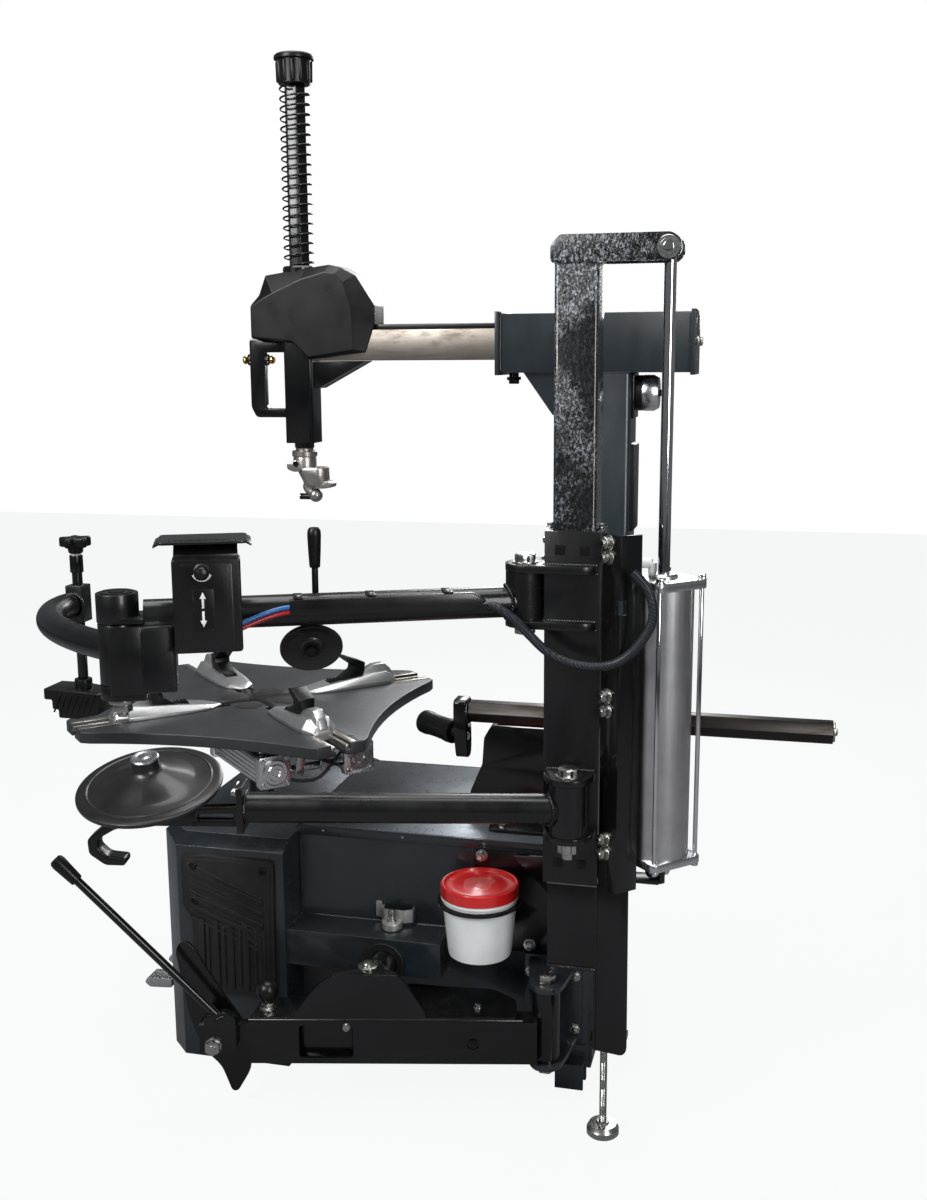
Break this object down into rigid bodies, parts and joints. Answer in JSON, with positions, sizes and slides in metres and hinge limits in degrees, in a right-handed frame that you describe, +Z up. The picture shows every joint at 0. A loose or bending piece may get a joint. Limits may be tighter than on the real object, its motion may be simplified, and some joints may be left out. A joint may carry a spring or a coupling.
{
  "type": "tire changer",
  "caption": "Tilting-column tire changer with clamping turntable, sprung hexagonal mounting head, side bead breaker and pneumatic helper tower.",
  "frame": {"origin": "on the floor, directly under the turntable's axis, on the underside of the cabinet's cross member", "axes": "+Z up; -Y towards the operator, where the pedals are; +X towards the bead breaker and the helper tower"},
  "size_m": [1.1539, 1.653, 2.165],
  "materials": {
    "blue_grey_paint": "gloss",
    "black_paint": "satin",
    "rubber": "matte",
    "black_plastic": "matte",
    "steel": "satin",
    "chrome": "polished",
    "aluminium": "satin",
    "cast_grey": "cast",
    "dark_cast": "satin",
    "brass": "satin",
    "white_plastic": "satin",
    "red_plastic": "satin"
  },
  "bodies": {
    "base": {"cabinet": "blue_grey_paint", "bumper_pad": "rubber", "turntable_gearbox": "cast_grey", "drive_motor": "cast_grey", "breaker_cylinder": "aluminium", "breaker_bracket": "blue_grey_paint", "breaker_pivot_bolt": "steel", "column_support": "black_paint", "column_pivot_shaft": "steel", "tilt_cylinder": "aluminium", "tower_bracket": "black_paint", "tower_post": "black_paint", "tower_head": "black_paint", "helper_rod": "chrome", "levelling_foot": "steel", "bucket": "white_plastic", "bucket_lid": "red_plastic"},
    "turntable": {"turntable": "dark_cast", "clamp_cylinder_right": "aluminium", "clamp_cylinder_left": "aluminium"},
    "jaw_1": {"jaw_1": "cast_grey"},
    "jaw_2": {"jaw_2": "cast_grey"},
    "jaw_3": {"jaw_3": "cast_grey"},
    "jaw_4": {"jaw_4": "cast_grey"},
    "column": {"column": "blue_grey_paint", "arm_box": "blue_grey_paint", "slide_lock_cylinder": "black_plastic"},
    "slide_arm": {"slide_arm": "steel", "head_cover": "black_plastic", "shaft_tube": "black_paint", "d_handle": "black_paint"},
    "lock_button": {"lock_button": "brass"},
    "mount_shaft": {"hex_shaft": "black_paint", "shaft_cap": "black_plastic", "return_spring": "black_paint", "mount_head": "cast_grey"},
    "carriage": {"carriage_sleeve": "black_paint", "clamp_plate": "black_paint", "lift_cylinder": "aluminium"},
    "upper_arm": {"upper_arm": "black_paint", "cable_cover": "black_paint", "control_box": "black_paint"},
    "joystick": {"joystick": "black_plastic"},
    "disc_bracket": {"disc_bracket": "black_paint"},
    "press_disc": {"press_disc": "black_plastic"},
    "elbow_arm": {"bent_arm": "black_paint"},
    "pusher": {"pusher_rod": "black_paint", "pusher_block": "black_plastic"},
    "hex_bar": {"hex_bar": "black_paint"},
    "roller": {"roller": "black_plastic"},
    "lower_arm": {"lower_arm": "black_paint"},
    "lift_disc": {"lift_disc": "black_plastic"},
    "breaker_arm": {"breaker_arm": "black_paint", "breaker_handle": "black_paint"},
    "breaker_blade": {"breaker_blade": "black_paint"},
    "breaker_rod": {"breaker_rod": "black_paint"},
    "pedal_1": {"pedal_1": "cast_grey"},
    "pedal_2": {"pedal_2": "cast_grey"},
    "pedal_3": {"pedal_3": "cast_grey"},
    "pedal_4": {"pedal_4": "cast_grey"}
  },
  "joints": [
    {"name": "turntable_spin", "type": "hinge", "parent": "base", "child": "turntable", "pos_m": [0, 0, 0.732], "axis": [0, 0, 1], "continuous": true},
    {"name": "jaw_1_slide", "type": "slide", "parent": "turntable", "child": "jaw_1", "axis": [0.7071, 0.7071, 0], "range_m": [-0.03, 0.09]},
    {"name": "jaw_2_slide", "type": "slide", "parent": "turntable", "child": "jaw_2", "axis": [-0.7071, 0.7071, 0], "range_m": [-0.03, 0.09]},
    {"name": "jaw_3_slide", "type": "slide", "parent": "turntable", "child": "jaw_3", "axis": [-0.7071, -0.7071, 0], "range_m": [-0.03, 0.09]},
    {"name": "jaw_4_slide", "type": "slide", "parent": "turntable", "child": "jaw_4", "axis": [0.7071, -0.7071, 0], "range_m": [-0.03, 0.09]},
    {"name": "column_tilt", "type": "hinge", "parent": "base", "child": "column", "pos_m": [0, 0.791, 0.64], "axis": [-1, 0, 0], "range_deg": [0, 28]},
    {"name": "arm_slide", "type": "slide", "parent": "column", "child": "slide_arm", "axis": [0, 1, 0], "range_m": [-0.08, 0.2]},
    {"name": "lock_button_push", "type": "slide", "parent": "slide_arm", "child": "lock_button", "axis": [0, 1, 0], "range_m": [-0.005, 0.005]},
    {"name": "shaft_slide", "type": "slide", "parent": "slide_arm", "child": "mount_shaft", "axis": [0, 0, -1], "range_m": [0, 0.28], "deforming": ["return_spring"]},
    {"name": "carriage_lift", "type": "slide", "parent": "base", "child": "carriage", "axis": [0, 0, 1], "range_m": [0, 0.45]},
    {"name": "upper_arm_swing", "type": "hinge", "parent": "carriage", "child": "upper_arm", "pos_m": [0.45, 0.728, 1.077], "axis": [0, 0, 1], "range_deg": [-55, 30]},
    {"name": "joystick_tilt", "type": "hinge", "parent": "upper_arm", "child": "joystick", "pos_m": [0.75372, 0.22286, 1.165], "axis": [0.4067, -0.9135, 0], "range_deg": [-15, 15]},
    {"name": "disc_bracket_tilt", "type": "hinge", "parent": "upper_arm", "child": "disc_bracket", "pos_m": [0.56914, 0.35961, 1.077], "axis": [0.4067, -0.9135, 0], "range_deg": [-20, 0]},
    {"name": "press_disc_spin", "type": "hinge", "parent": "disc_bracket", "child": "press_disc", "pos_m": [0.56224, 0.34559, 1.006], "axis": [0.7685, 0.3421, -0.5408], "continuous": true},
    {"name": "elbow_swing", "type": "hinge", "parent": "upper_arm", "child": "elbow_arm", "pos_m": [0.74895, 0.05654, 1.013], "axis": [0, 0, 1], "range_deg": [-20, 60]},
    {"name": "pusher_slide", "type": "slide", "parent": "elbow_arm", "child": "pusher", "axis": [0, 0, 1], "range_m": [-0.02, 0.1]},
    {"name": "hex_bar_slide", "type": "slide", "parent": "carriage", "child": "hex_bar", "axis": [0, 1, 0], "range_m": [-0.1, 0.15]},
    {"name": "roller_spin", "type": "hinge", "parent": "hex_bar", "child": "roller", "pos_m": [0.296, 0.566, 0.765], "axis": [-0.6198, -0.7848, 0], "continuous": true},
    {"name": "lower_arm_swing", "type": "hinge", "parent": "carriage", "child": "lower_arm", "pos_m": [0.51, 0.822, 0.7], "axis": [0, 0, 1], "range_deg": [-12, 60]},
    {"name": "lift_disc_spin", "type": "hinge", "parent": "lower_arm", "child": "lift_disc", "pos_m": [0.67196, 0.06002, 0.743], "axis": [0.2419, 0, 0.9703], "continuous": true},
    {"name": "breaker_swing", "type": "hinge", "parent": "base", "child": "breaker_arm", "pos_m": [0.355, 0.755, 0.162], "axis": [0, 0, 1], "range_deg": [-9, 10]},
    {"name": "blade_tilt", "type": "hinge", "parent": "breaker_arm", "child": "breaker_blade", "pos_m": [0.50388, 0.0997, 0.162], "axis": [0.9751, 0.2215, 0], "range_deg": [-15, 15]},
    {"name": "breaker_rod_slide", "type": "slide", "parent": "base", "child": "breaker_rod", "axis": [1, 0, 0], "range_m": [-0.0557, 0.0619]},
    {"name": "pedal_1_press", "type": "hinge", "parent": "base", "child": "pedal_1", "pos_m": [-0.18, 0.048, 0.092], "axis": [1, 0, 0], "range_deg": [-8, 10]},
    {"name": "pedal_2_press", "type": "hinge", "parent": "base", "child": "pedal_2", "pos_m": [-0.06, 0.048, 0.092], "axis": [1, 0, 0], "range_deg": [0, 10]},
    {"name": "pedal_3_press", "type": "hinge", "parent": "base", "child": "pedal_3", "pos_m": [0.06, 0.048, 0.092], "axis": [1, 0, 0], "range_deg": [0, 10]},
    {"name": "pedal_4_press", "type": "hinge", "parent": "base", "child": "pedal_4", "pos_m": [0.18, 0.048, 0.092], "axis": [1, 0, 0], "range_deg": [0, 10]}
  ],
  "couplings": [
    {"joint": "jaw_2_slide", "follows": "jaw_1_slide", "ratio": 1},
    {"joint": "jaw_3_slide", "follows": "jaw_1_slide", "ratio": 1},
    {"joint": "jaw_4_slide", "follows": "jaw_1_slide", "ratio": 1},
    {"joint": "breaker_rod_slide", "follows": "breaker_swing", "m_per_rad": 0.354}
  ]
}
